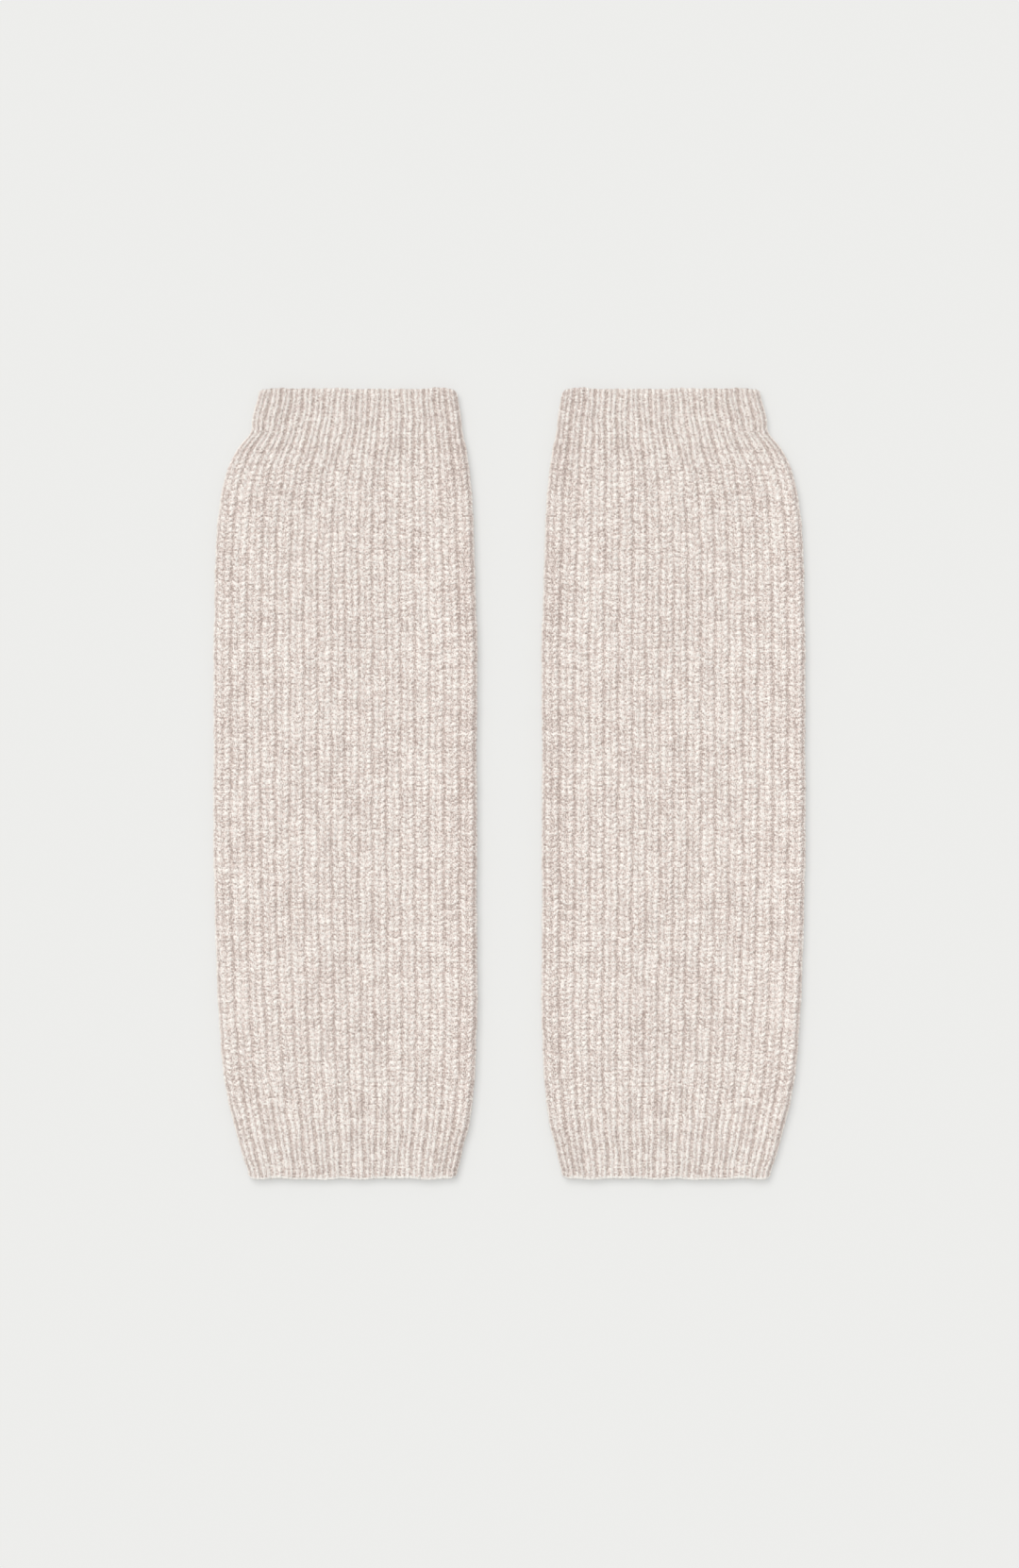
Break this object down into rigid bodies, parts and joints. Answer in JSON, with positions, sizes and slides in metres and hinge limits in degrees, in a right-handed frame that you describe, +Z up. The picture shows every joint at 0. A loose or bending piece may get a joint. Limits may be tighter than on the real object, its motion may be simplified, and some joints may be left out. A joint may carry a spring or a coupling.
{
  "type": "pair of arm warmers",
  "caption": "Knitted rib arm warmers laid flat side by side: open tubes of thick wool, each with a soft wide-rib body and a tighter ribbed cuff at either end.",
  "frame": {"origin": "on the surface they lie on, midway between the two arm warmers and halfway along them", "axes": "+X across the pair, to the right when the upper cuffs point away; +Y along the arm towards the upper cuffs; +Z up from the surface"},
  "size_m": [0.2696, 0.36, 0.0075],
  "materials": {
    "wool": "matte heathered oatmeal wool, rib knit"
  },
  "bodies": {
    "root": {"lower_cuff_left": "wool", "body_left": "wool", "upper_cuff_left": "wool", "lower_cuff_right": "wool", "body_right": "wool", "upper_cuff_right": "wool"}
  },
  "joints": []
}
